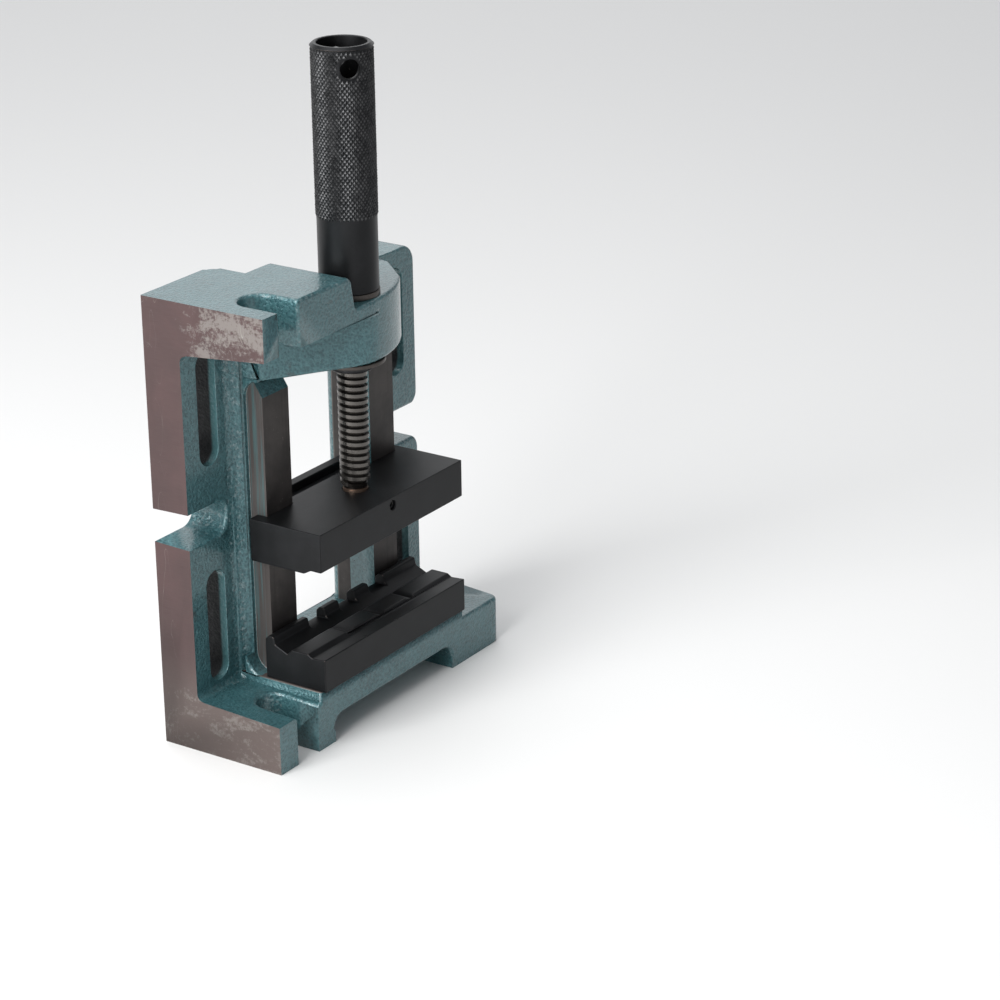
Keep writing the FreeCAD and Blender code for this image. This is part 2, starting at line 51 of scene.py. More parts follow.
class Signal:
    # one socket of a shader tree; Python operators on it add Math nodes
    def __init__(self, finish, socket):
        self.finish = finish
        self.socket = socket

    def math(self, operation, *others, clamp=False):
        return self.finish.add("ShaderNodeMath", {"operation": operation, "use_clamp": clamp},
                               {i: v for i, v in enumerate((self, *others))})

    def __add__(self, other):
        return self.math("ADD", other)

    def __radd__(self, other):
        return self.finish.number(other, "ADD", self)

    def __sub__(self, other):
        return self.math("SUBTRACT", other)

    def __rsub__(self, other):
        return self.finish.number(other, "SUBTRACT", self)

    def __mul__(self, other):
        return self.math("MULTIPLY", other)

    def __truediv__(self, other):
        return self.math("DIVIDE", other)

    def __abs__(self):
        return self.math("ABSOLUTE")

    def __lt__(self, other):
        return self.math("LESS_THAN", other)

    def clamp(self):
        return self.math("ADD", 0.0, clamp=True)

    def smooth(self, low, high):      # 0 below low, 1 above high, eased between
        return self.finish.add("ShaderNodeMapRange", {"interpolation_type": "SMOOTHSTEP"},
                               {"Value": self, "From Min": low, "From Max": high})

    def between(self, low, high):     # straight ramp from low to high, held at both ends
        return self.finish.add("ShaderNodeMapRange", {"clamp": True},
                               {"Value": self, "From Min": 0.0, "From Max": 1.0,
                                "To Min": low, "To Max": high})


class Finish:
    # one material: a Principled shader and the nodes that feed it
    def __init__(self, name, **constants):
        self.material = bpy.data.materials.new(name)
        self.material.use_nodes = True
        self.tree = self.material.node_tree
        self.tree.nodes.clear()
        self.shader = self.tree.nodes.new("ShaderNodeBsdfPrincipled")
        output = self.tree.nodes.new("ShaderNodeOutputMaterial")
        self.tree.links.new(self.shader.outputs[0], output.inputs[0])
        for socket, value in constants.items():
            self.shader.inputs[socket.replace("_", " ")].default_value = value
        self.place = self.add("ShaderNodeTexCoord", {}, {}, "Object")
        split = self.add("ShaderNodeSeparateXYZ", {}, {0: self.place}).socket.node
        self.x, self.y, self.z = (Signal(self, socket) for socket in split.outputs)

    def add(self, kind, settings, inputs, output=0):
        node = self.tree.nodes.new(kind)
        for key, value in settings.items():
            if key == "stops":
                self.setStops(node, value)
            else:
                setattr(node, key, value)
        for key, value in inputs.items():
            if isinstance(value, Signal):
                self.tree.links.new(value.socket, node.inputs[key])
            else:
                node.inputs[key].default_value = value
        return Signal(self, node.outputs[output])

    def setStops(self, node, stops):
        ramp = node.color_ramp
        while len(ramp.elements) < len(stops):
            ramp.elements.new(0.5)
        for element, (position, colour) in zip(ramp.elements, stops):
            element.position = position
            element.color = (*colour, 1.0)

    def number(self, value, operation, other):
        return self.add("ShaderNodeMath", {"operation": operation}, {0: value, 1: other})

    def stretched(self, sx, sy, sz):      # object coordinates, scaled along each axis
        return self.add("ShaderNodeMapping", {}, {"Vector": self.place, "Scale": (sx, sy, sz)})

    def noise(self, size, detail=3.0, rough=0.5, warp=0.0, where=None):   # size of a blob in metres
        return self.add("ShaderNodeTexNoise", {}, {"Vector": where or self.place, "Scale": 1.0 / size,
                        "Detail": detail, "Roughness": rough, "Distortion": warp})

    def cells(self, size, feature="F1", where=None, jitter=1.0):
        return self.add("ShaderNodeTexVoronoi", {"feature": feature},
                        {"Vector": where or self.place, "Scale": 1.0 / size, "Randomness": jitter},
                        "Distance")

    def blend(self, share, first, second, mode="MIX"):
        node = self.add("ShaderNodeMix", {"data_type": "RGBA", "blend_type": mode}, {}).socket.node
        for key, value in ((0, share), (6, first), (7, second)):
            if isinstance(value, Signal):
                self.tree.links.new(value.socket, node.inputs[key])
            else:
                node.inputs[key].default_value = (*value, 1.0) if key else value
        return Signal(self, node.outputs[2])

    def attribute(self, name):
        return self.add("ShaderNodeAttribute", {"attribute_name": name}, {}, "Fac")

    def relief(self, height, depth, before=None):     # depth in metres
        inputs = {"Height": height, "Distance": depth, "Strength": 1.0}
        if before:
            inputs["Normal"] = before
        return self.add("ShaderNodeBump", {}, inputs, "Normal")

    def feed(self, **sockets):
        for socket, value in sockets.items():
            target = self.shader.inputs[socket.replace("_", " ")]
            if isinstance(value, Signal):
                self.tree.links.new(value.socket, target)
            else:
                target.default_value = value
        return self.material


casting = {"castEdge": 1.5 * mm, "groundEdge": 0.22, "railFront": 11.8 * mm, "railSide": 44.2 * mm,
           "railBack": 24.5 * mm, "recessSide": 35.5 * mm, "seat": 25.0 * mm, "flangeThick": 18.0 * mm,
           "slotMiddle": 63.8 * mm, "slotHalf": 5.85 * mm, "notchLow": 85 * mm, "notchHigh": 106 * mm,
           "tolerance": 0.05 * mm}
paint = {"colour": (0.034, 0.104, 0.118), "pale": (0.08, 0.2, 0.216), "dark": (0.016, 0.052, 0.062),
         "chip": (0.2, 0.27, 0.28), "rust": (0.06, 0.03, 0.022), "grain": 1.15 * mm, "lump": 11 * mm}


def hammeredPaint():
    # glossy teal paint with a fine hammered grain over a sand-cast skin
    finish = Finish("hammeredPaint", Coat_Roughness=0.16, Coat_IOR=1.5)
    grain = finish.cells(paint["grain"], "SMOOTH_F1")
    fine = finish.noise(paint["grain"] * 0.6, 4.0, 0.6)
    lump = finish.noise(paint["lump"], 3.0, 0.45)
    edge = finish.attribute("edgeWear")
    stain = finish.noise(16 * mm, 5.0, 0.65).smooth(0.64, 0.72)
    colour = finish.blend((lump - 0.35) * 1.6, paint["colour"], paint["dark"])
    colour = finish.blend(grain.smooth(0.15, 0.6) * 0.5, colour, paint["pale"])
    worn = (edge * finish.noise(1.6 * mm, 4.0, 0.7).smooth(0.52, 0.62)).clamp()
    colour = finish.blend(worn * 0.7, finish.blend(stain * 0.35, colour, paint["rust"]), paint["chip"])
    height = grain * 0.6 + fine * 0.5
    normal = finish.relief(height, 0.55 * mm, finish.relief(lump, 0.7 * mm))
    return finish.feed(Base_Color=colour, Metallic=0.3, Roughness=(fine * 0.16 + 0.22), Coat_Weight=0.6,
                       Normal=normal)


# dark greys painted deeper in the slot walls as painted shade; depth is how far behind the flange's front
# face the painted shade starts
slotShade = {"depth": 3.2 * mm, "soft": 0.7 * mm, "bare": (0.022, 0.024, 0.026),
          "paintedShadeLight": (0.05, 0.052, 0.053)}


def slotWall():
    # walls of the long slots: pale paint at the lip as a painted highlight, further in a dark grey as painted
    # shade, with no coat
    finish = Finish("slotWall")
    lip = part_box("body_casting")[1].y - casting["flangeThick"] + slotShade["depth"]
    fine = finish.noise(paint["grain"] * 0.6, 4.0, 0.6)
    cloud = finish.noise(6 * mm, 4.0, 0.6)
    # painted shade share: 0 on the lit lip, 1 deeper in the slot
    slotShadeShare = (finish.y + (cloud - 0.5) * 0.8 * mm).smooth(lip - slotShade["soft"], lip + slotShade["soft"])
    bare = finish.blend(cloud.smooth(0.3, 0.8), slotShade["bare"], slotShade["paintedShadeLight"])
    normal = finish.relief(fine + finish.cells(paint["grain"], "SMOOTH_F1"), 0.3 * mm)
    # pale paint on the lip is a painted highlight; the dark greys deeper in are painted shade
    return finish.feed(Base_Color=finish.blend(slotShadeShare, paint["pale"], bare), Metallic=0.3,
                       Roughness=(0.28 + slotShadeShare * 0.3), Coat_Weight=(0.6 - slotShadeShare * 0.6), Normal=normal)


ground = {"film": (0.064, 0.031, 0.031), "filmDark": (0.048, 0.024, 0.024), "footFilm": (0.1, 0.078, 0.07),
          "bare": (0.3, 0.285, 0.265), "line": 0.16 * mm, "scratch": 26 * mm,
          "armLow": 171 * mm, "footHigh": 42 * mm}


def groundFace():
    # ground iron under a brown film of old oil, rubbed through on the arm and the foot, and scratched
    finish = Finish("groundFace")
    cloud = finish.noise(26 * mm, 5.0, 0.62, 0.3)
    patch = finish.noise(9 * mm, 6.0, 0.72, 0.6, where=finish.stretched(1.0, 0.55, 1.0))
    speck = finish.noise(1.5 * mm, 5.0, 0.8)
    arm = finish.z.smooth(ground["armLow"] - 12 * mm, ground["armLow"] + 4 * mm)
    arm = arm * (1 - finish.y.smooth(6 * mm, 34 * mm) * 0.75)
    foot = 1 - finish.z.smooth(ground["footHigh"] - 26 * mm, ground["footHigh"] + 6 * mm)
    used = (arm + foot * 0.6).clamp()
    rubbed = (patch * 0.62 + speck * 0.42 + used * 0.17).smooth(0.63, 0.74)
    bands = finish.noise(ground["scratch"], 0.0, 0.0, 0.0, where=finish.stretched(1.0, 0.9, 0.35))
    swirl = finish.noise(7 * mm, 0.0, 0.0, 0.4, where=finish.stretched(1.0, 2.0, 0.35))
    hair = 1 - abs(swirl - 0.5).smooth(0.0, 0.006)
    scratches = hair * bands.smooth(0.56, 0.64)
    lines = finish.noise(ground["line"], 2.0, 0.5, where=finish.stretched(0.02, 0.02, 1.0))
    edge = finish.attribute("edgeWear")
    colour = finish.blend(cloud.smooth(0.3, 0.7), ground["filmDark"], ground["film"])
    colour = finish.blend(foot * 0.75, colour, ground["footFilm"])
    colour = finish.blend((lines * 0.08).clamp(), colour, ground["bare"])
    bare = (rubbed * (0.2 + used * 0.36) + scratches * 0.5 + edge * 0.6).clamp()
    colour = finish.blend(bare, colour, ground["bare"])
    normal = finish.relief(lines, 0.012 * mm, finish.relief(speck, 0.02 * mm))
    return finish.feed(Base_Color=colour, Metallic=(bare * 0.5 + 0.25).clamp(),
                       Roughness=(0.5 - bare * 0.14 + speck * 0.1), Normal=normal)


# film and bare are darkened partly as painted shade of the rail fronts; teal is the paint left in the side
# streaks
railTone = {"film": (0.026, 0.023, 0.022), "bare": (0.09, 0.08, 0.075), "teal": (0.045, 0.115, 0.122)}


def slidewayFace():
    # milled slideway: long fine lines along the slide under an oil film; its colours are kept dark, partly
    # for the oil film and partly as painted shade of the rail fronts
    finish = Finish("slidewayFace")
    lines = finish.noise(0.35 * mm, 3.0, 0.6, where=finish.stretched(1.0, 1.0, 0.006))
    bands = finish.noise(2.6 * mm, 2.0, 0.5, where=finish.stretched(1.0, 1.0, 0.02))
    cloud = finish.noise(15 * mm, 4.0, 0.6)
    rubs = finish.noise(2.4 * mm, 5.0, 0.8).smooth(0.62, 0.7) * cloud.smooth(0.5, 0.62)
    colour = finish.blend(cloud.smooth(0.3, 0.75) * 0.5 + lines * 0.2, railTone["film"], railTone["bare"])
    colour = finish.blend(bands.smooth(0.6, 0.72) * 0.4, colour, railTone["film"])
    worn = (rubs + finish.attribute("edgeWear") * 0.6).clamp()
    colour = finish.blend(worn * 0.6, colour, (0.3, 0.28, 0.26))
    return finish.feed(Base_Color=colour, Metallic=0.5, Roughness=(0.44 + cloud * 0.12),
                       Normal=finish.relief(lines, 0.02 * mm))


def stripedFace():
    # sides of the slideways: milled metal with streaks of paint left in the low places
    finish = Finish("stripedFace")
    bands = finish.noise(1.3 * mm, 3.0, 0.6, 0.1, where=finish.stretched(1.0, 1.0, 0.016))
    lines = finish.noise(0.3 * mm, 3.0, 0.6, where=finish.stretched(1.0, 1.0, 0.006))
    painted = bands.smooth(0.5, 0.6) * finish.noise(20 * mm, 3.0).between(0.45, 1.0)
    metal = finish.blend(lines * 0.6, (0.06, 0.05, 0.048), (0.2, 0.18, 0.17))
    colour = finish.blend(painted * 0.85, metal, railTone["teal"])
    colour = finish.blend(finish.attribute("edgeWear") * 0.6, colour, (0.3, 0.28, 0.26))
    return finish.feed(Base_Color=colour, Metallic=(0.5 - painted * 0.4), Roughness=0.42,
                       Normal=finish.relief(lines + painted * 1.5, 0.02 * mm))


def blackenedSteel(name, tone, sheen, grain, edgeTone=(0.13, 0.11, 0.1)):
    # blackened steel: near-black satin, fine milling lines, edges rubbed to a warm brown-grey
    finish = Finish(name)
    cloud = finish.noise(14 * mm, 4.0, 0.6)
    fine = finish.noise(0.6 * mm, 3.0, 0.6)
    lines = finish.noise(0.22 * mm, 2.0, 0.5, where=finish.stretched(*grain))
    dust = finish.noise(0.8 * mm, 3.0, 0.7).smooth(0.7, 0.76)
    edge = finish.attribute("edgeWear")
    worn = (edge * finish.noise(2.2 * mm, 4.0, 0.7).smooth(0.36, 0.6)).clamp()
    colour = finish.blend(cloud.smooth(0.35, 0.75) * 0.6, tone, tuple(1.7 * c for c in tone))
    colour = finish.blend(dust * 0.25, finish.blend(worn, colour, edgeTone), (0.2, 0.19, 0.18))
    rough = sheen + cloud * 0.14 + lines * 0.05
    normal = finish.relief(lines, 0.012 * mm, finish.relief(fine, 0.01 * mm))
    return finish.feed(Base_Color=colour, Metallic=0.75, Roughness=rough, Normal=normal)


def threadSteel():
    # dark oiled thread: crests painted lighter as a painted highlight, roots near-black as painted shade, a
    # brown ring where it meets the jaw
    finish = Finish("threadSteel")
    crest = finish.attribute("crest")
    cloud = finish.noise(5 * mm, 4.0, 0.65)
    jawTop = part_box("moving_jaw")[1].z
    seat = 1 - finish.z.smooth(jawTop + 0.9 * mm, jawTop + 1.6 * mm)
    crestHighlight = (crest * cloud.between(0.55, 1.0)).clamp()
    # crests painted light grey as a painted highlight; everything else near-black as painted shade in the
    # roots
    colour = finish.blend(crestHighlight, (0.018, 0.015, 0.013), (0.15, 0.14, 0.13))
    colour = finish.blend(seat * 0.8, colour, (0.24, 0.17, 0.13))
    return finish.feed(Base_Color=colour, Metallic=0.85, Roughness=(0.3 - crest * 0.06 + cloud * 0.08),
                       Normal=finish.relief(finish.noise(0.5 * mm, 3.0), 0.01 * mm))


def washerSteel():
    # oiled hardened steel, clouded brown
    finish = Finish("washerSteel")
    cloud = finish.noise(3 * mm, 4.0, 0.6)
    colour = finish.blend(cloud, (0.03, 0.027, 0.025), (0.12, 0.105, 0.095))
    return finish.feed(Base_Color=colour, Metallic=0.8, Roughness=(0.3 + cloud * 0.2),
                       Normal=finish.relief(finish.noise(0.4 * mm, 2.0), 0.008 * mm))


finishes = {
    "paint": hammeredPaint(),
    "ground": groundFace(),
    "slideway": slidewayFace(),
    "striped": stripedFace(),
    "slotWall": slotWall(),
    "jaw": blackenedSteel("blackenedJaw", (0.014, 0.0145, 0.0155), 0.36, (0.02, 1.0, 1.0)),
    "handle": blackenedSteel("blackenedHandle", (0.013, 0.0135, 0.0145), 0.3, (1.0, 1.0, 0.02)),
    "knurl": blackenedSteel("knurledHandle", (0.011, 0.0115, 0.0125), 0.3, (1.0, 1.0, 1.0),
                            (0.1, 0.1, 0.102)),
    "plate": blackenedSteel("blackenedPlate", (0.018, 0.018, 0.019), 0.4, (0.02, 1.0, 1.0)),
    "fastener": blackenedSteel("blackenedFastener", (0.03, 0.03, 0.031), 0.36, (1.0, 1.0, 1.0)),
    "thread": threadSteel(),
    "washer": washerSteel(),
}
print("materials ready:", len(finishes))


def addPiece(name, mesh, body, slot, *nodes):
    piece = bpy.data.objects.new(name, mesh)
    bpy.context.scene.collection.objects.link(piece)
    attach(piece, body)
    if nodes:
        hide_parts(*nodes)
    return piece


def settled(source):
    # evaluated copy of an object's mesh, with its modifiers baked in
    graph = bpy.context.evaluated_depsgraph_get()
    mesh = bpy.data.meshes.new_from_object(source.evaluated_get(graph), depsgraph=graph)
    bpy.data.objects.remove(source)
    return mesh


def markWear(mesh, width):
    # edgeWear is 1 where every face round a vertex is a narrow rounding strip
    wide = [False] * len(mesh.vertices)
    for face in mesh.polygons:
        corners = [mesh.vertices[i].co for i in face.vertices]
        longest = max((a - b).length for a, b in zip(corners, corners[1:] + corners[:1]))
        if face.area > longest * width:
            for index in face.vertices:
                wide[index] = True
    layer = mesh.attributes.new("edgeWear", "FLOAT", "POINT")
    layer.data.foreach_set("value", [0.0 if flag else 1.0 for flag in wide])


# standOff, reach: shares of the width; fold: cosine; speck: face area; ease: how much a failed edge loses
rounding = {"goes": 4, "standOff": 0.45, "fold": 0.25, "speck": 1e-10, "thinShare": 0.42, "least": 0.02,
            "reach": 0.2, "ease": 0.4}


def smoothRegions(shape, angle):
    # group faces that meet at less than the angle; gives each face its group's mean thickness
    thickness = {}
    for first in shape.faces:
        if first in thickness:
            continue
        group, rim, queue = {first}, 0.0, [first]
        while queue:
            face = queue.pop()
            for edge in face.edges:
                other = [f for f in edge.link_faces if f is not face]
                if other and edge.calc_face_angle(0.0) < angle:
                    if other[0] not in group:
                        group.add(other[0])
                        queue.append(other[0])
                else:
                    rim += edge.calc_length()
        mean = 2 * sum(face.calc_area() for face in group) / max(rim, 1e-6)
        thickness.update((face, mean) for face in group)
    return thickness


def roundedMesh(mesh, width, segments):
    # the mesh with its weighted edges rounded, baked
    source = bpy.data.objects.new("source", mesh.copy())
    bpy.context.scene.collection.objects.link(source)
    bevel = source.modifiers.new("rounding", "BEVEL")
    bevel.limit_method = "WEIGHT"
    bevel.width = width
    bevel.segments = segments
    bevel.use_clamp_overlap = False
    source.modifiers.new("weighted", "WEIGHTED_NORMAL").keep_sharp = True
    return settled(source)


def faultyPlaces(mesh, surface, width):
    # where a rounding has left the old surface or folded over
    places = []
    for face in mesh.polygons:
        normal = surface.find_nearest(face.center)[1]
        far = max(surface.find_nearest(mesh.vertices[i].co)[3] for i in face.vertices)
        folded = face.area > rounding["speck"] and normal.dot(face.normal) < rounding["fold"]
        if far > rounding["standOff"] * width or folded:
            places.extend([face.center.copy()] + [mesh.vertices[i].co.copy() for i in face.vertices])
    return places


def nearEdge(place, start, end, reach):
    along = end - start
    share = max(0.0, min(1.0, (place - start).dot(along) / max(along.length_squared, 1e-12)))
    return (place - start - along * share).length < reach


def softened(node, width, segments=3, angle=28, chooseFinish=None, groundShare=1.0):
    # copy of a CAD node with merged faces and rounded edges; width is the rounding, in metres
    shape = bmesh.new()
    shape.from_mesh(frame["nodes"][node].data)
    bmesh.ops.remove_doubles(shape, verts=shape.verts, dist=2e-6)
    surface = BVHTree.FromBMesh(shape)
    bmesh.ops.dissolve_limit(shape, angle_limit=math.radians(0.6), verts=shape.verts, edges=shape.edges)
    if chooseFinish:
        for face in shape.faces:
            face.material_index = chooseFinish(face)
    weights = shape.edges.layers.float.new("bevel_weight_edge")
    thickness = smoothRegions(shape, math.radians(angle))
    for edge in shape.edges:
        if len(edge.link_faces) == 2 and edge.calc_face_angle() > math.radians(angle):
            thinnest = min(thickness[face] for face in edge.link_faces)
            share = min(1.0, rounding["thinShare"] * thinnest / width)
            ground = any(face.material_index for face in edge.link_faces)
            edge[weights] = min(share, groundShare) if ground else share
    for attempt in range(rounding["goes"]):
        for edge in shape.edges:      # an edge that stays unrounded stays sharp
            edge.smooth = edge[weights] > rounding["least"] or edge.calc_face_angle(0.0) < math.radians(angle)
        mesh = bpy.data.meshes.new(node)
        shape.to_mesh(mesh)
        for face in mesh.polygons:
            face.use_smooth = True
        baked = roundedMesh(mesh, width, segments)
        places = faultyPlaces(baked, surface, width)
        if not places:
            break
        for edge in shape.edges:
            if edge[weights] > 0:
                start, end = (v.co for v in edge.verts)
                if any(nearEdge(place, start, end, rounding["reach"] * width) for place in places):
                    edge[weights] = 0.0 if attempt > 1 else edge[weights] * rounding["ease"]
    pulled = 0
    for vertex in baked.vertices:      # what still stands off the old surface goes back onto it
        nearest = surface.find_nearest(vertex.co)
        if nearest[3] > rounding["standOff"] * width:
            vertex.co = nearest[0]
            pulled += 1
    print(node, "rounded in", attempt + 1, "goes, points pulled back:", pulled)
    shape.free()
    markWear(baked, width * 0.6)
    return baked


castingSlots = ["paint", "ground", "slideway", "striped", "slotWall"]


def near(value, target):
    return abs(value - target) < casting["tolerance"]


def castingFinish(face):
    low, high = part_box("body_casting")
    n = face.normal
    c = face.calc_center_median()
    side = n.x < -0.99 and near(c.x, low.x)
    foot = n.z < -0.99 and near(c.z, 0)
    base = n.y > 0.99 and near(c.y, high.y)
    if side or foot or base:
        return 1
    if n.z > 0.99 and near(c.z, casting["seat"]):
        return 1
    if n.y < -0.99 and near(c.y, casting["railFront"]):
        return 2
    if n.y > 0.99 and near(c.y, casting["railBack"]):
        return 2
    if abs(n.x) > 0.99 and near(abs(c.x), casting["railSide"]) and c.y < casting["railBack"]:
        return 3
    if abs(n.x) > 0.99 and near(abs(c.x), casting["recessSide"]) and c.y > casting["railBack"]:
        return 2
    inSlot = abs(abs(c.x) - casting["slotMiddle"]) < casting["slotHalf"] and abs(n.y) < 0.1
    inNotch = casting["notchLow"] < c.z < casting["notchHigh"]
    if inSlot and not inNotch and c.y > high.y - casting["flangeThick"] and casting["seat"] < c.z < high.z:
        return 4
    return 0


bodyMesh = softened("body_casting", casting["castEdge"], 3, 28, castingFinish, casting["groundEdge"])
for name in castingSlots:
    bodyMesh.materials.append(finishes[name])
addPiece("bodyCasting", bodyMesh, "frame", "painted_casting", "body_casting")
print("body casting:", len(bodyMesh.polygons), "faces")


roundings = {
    "fixed_jaw": ("jaw", "blackened_jaw", 0.45 * mm),
    "moving_jaw": ("jaw", "blackened_jaw", 0.45 * mm),
    "keeper_plate": ("plate", "keeper_steel", 0.4 * mm),
    "fixed_jaw_screw_left": ("fastener", "fastener_steel", 0.2 * mm),
    "fixed_jaw_screw_right": ("fastener", "fastener_steel", 0.2 * mm),
    "keeper_screw_left": ("fastener", "fastener_steel", 0.2 * mm),
    "keeper_screw_right": ("fastener", "fastener_steel", 0.2 * mm),
    "keeper_spring_washer_left": ("washer", "washer_steel", 0.15 * mm),
    "keeper_spring_washer_right": ("washer", "washer_steel", 0.15 * mm),
    "jaw_lock_screw": ("fastener", "fastener_steel", 0.15 * mm),
    "handle_washer": ("washer", "washer_steel", 0.2 * mm),
    "under_washer": ("washer", "washer_steel", 0.2 * mm),
    "retaining_ring": ("fastener", "fastener_steel", 0.15 * mm),
}
bodyOf = {node: body for body, nodes in frame["record"]["behaviour"]["bodies"].items() for node in nodes}
for node, (finishName, slotName, width) in roundings.items():
    mesh = softened(node, width, 2)
    mesh.materials.append(finishes[finishName])
    addPiece(node + "_finished", mesh, bodyOf[node], slotName, node)
print("jaws and fasteners ready:", len(roundings))


grip = {"columns": 44, "rowStep": 1.12 * mm, "pointHigh": 0.46 * mm, "pointWide": 0.87 * mm, "tall": 1.3,
        "core": 12.25 * mm, "plainTop": 2.2 * mm, "plainLow": 0.6 * mm, "zoneLow": 69.5 * mm,
        "holeDrop": 8.5 * mm, "holeTurn": 231.0, "holeRadius": 4.0 * mm, "holeClear": 4.9 * mm,
        "nutBore": 6.3 * mm, "journal": 9.0 * mm, "journalTall": 33.8 * mm, "shank": 12.2 * mm,
        "rim": 12.7 * mm, "bore": 10.1 * mm, "hollowStart": 47.0 * mm, "sides": 96,
        "unevenness": 0.2, "seed": 7}


def lathe(name, profile, sides):
    # closed ring of (radius, height) points turned round the screw's axis
    shape = bmesh.new()
    rings = [ring(shape, radius, z, sides) for radius, z in profile]
    for lower, upper in zip(rings, rings[1:] + rings[:1]):
        bridged(shape, lower, upper)
    bmesh.ops.recalc_face_normals(shape, faces=shape.faces)
    mesh = bpy.data.meshes.new(name)
    shape.to_mesh(mesh)
    shape.free()
    return mesh


def ring(shape, radius, z, sides):
    return [shape.verts.new((radius * math.cos(2 * math.pi * i / sides),
                             radius * math.sin(2 * math.pi * i / sides), z)) for i in range(sides)]


def bridged(shape, lower, upper):
    for i, vertex in enumerate(lower):
        j = (i + 1) % len(lower)
        shape.faces.new((vertex, lower[j], upper[j], upper[i]))


def handleCore():
    # hollow handle, turned down to the foot of the knurl points, with its cross hole cut through
    low, top = (corner.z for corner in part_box("handle"))
    soft = 0.3 * mm
    zone = top - grip["zoneLow"]
    outline = [(grip["nutBore"], low), (grip["journal"] - soft, low), (grip["journal"], low + soft),
               (grip["journal"], low + 1.6 * mm), (grip["journal"] - 1 * mm, low + 1.6 * mm),
               (grip["journal"] - 1 * mm, low + 3.1 * mm), (grip["journal"], low + 3.1 * mm),
               (grip["journal"], low + grip["journalTall"]),
               (grip["shank"] - soft, low + grip["journalTall"]),
               (grip["shank"], low + grip["journalTall"] + soft),
               (grip["shank"], zone), (grip["core"], zone + soft),
               (grip["core"], top - grip["plainTop"] + 0.6 * mm),
               (grip["rim"], top - grip["plainTop"] + 1.1 * mm),
               (grip["rim"], top - 1.2 * mm), (grip["rim"] - 0.9 * mm, top - 0.25 * mm),
               (grip["rim"] - 1.3 * mm, top), (grip["bore"] + soft, top), (grip["bore"], top - soft),
               (grip["bore"], low + grip["hollowStart"]),
               (grip["nutBore"], low + grip["hollowStart"] - 3 * mm)]
    body = bpy.data.objects.new("handleTurned", lathe("handleTurned", outline, grip["sides"]))
    reach, core = 20 * mm, 0.02 * mm
    drill = lathe("drill", [(grip["holeRadius"], -reach), (grip["holeRadius"], reach), (core, reach),
                            (core, -reach)], 40)
    drill.transform(Matrix.Translation((0, 0, top - grip["holeDrop"]))
                    @ Matrix.Rotation(math.radians(grip["holeTurn"]), 4, "Z")
                    @ Matrix.Rotation(math.pi / 2, 4, "Y"))
    cutter = bpy.data.objects.new("drill", drill)
    for item in (body, cutter):
        bpy.context.scene.collection.objects.link(item)
    cut = body.modifiers.new("crossHole", "BOOLEAN")
    cut.operation = "DIFFERENCE"
    cut.solver = "EXACT"
    cut.object = cutter
    edges = body.modifiers.new("edges", "BEVEL")
    edges.width = 0.25 * mm
    edges.segments = 2
    edges.angle_limit = math.radians(50)
    mesh = settled(body)
    bpy.data.objects.remove(cutter)
    for face in mesh.polygons:
        face.use_smooth = True
    mesh.materials.clear()
    mesh.materials.append(finishes["handle"])
    mesh.set_sharp_from_angle(angle=math.radians(32))
    markWear(mesh, 0.2 * mm)
    return mesh


class PointTree:
    # a Geometry Nodes tree and the one method that adds nodes to it
    def __init__(self, name):
        self.tree = bpy.data.node_groups.new(name, "GeometryNodeTree")
        self.tree.interface.new_socket("Geometry", in_out="OUTPUT", socket_type="NodeSocketGeometry")
        self.start = self.tree.nodes.new("NodeGroupInput")
        self.end = self.tree.nodes.new("NodeGroupOutput")

    def size(self, name, kind, value):      # a named input of the tree
        item = self.tree.interface.new_socket(name, in_out="INPUT", socket_type=kind)
        item.default_value = value
        return Signal(self, self.start.outputs[name])

    def add(self, kind, settings, inputs, output=0):
        node = self.tree.nodes.new(kind)
        for key, value in settings.items():
            setattr(node, key, value)
        for key, value in inputs.items():
            if isinstance(value, Signal):
                self.tree.links.new(value.socket, node.inputs[key])
            else:
                node.inputs[key].default_value = value
        return Signal(self, node.outputs[output])

    def number(self, value, operation, other):
        return self.add("ShaderNodeMath", {"operation": operation}, {0: value, 1: other})


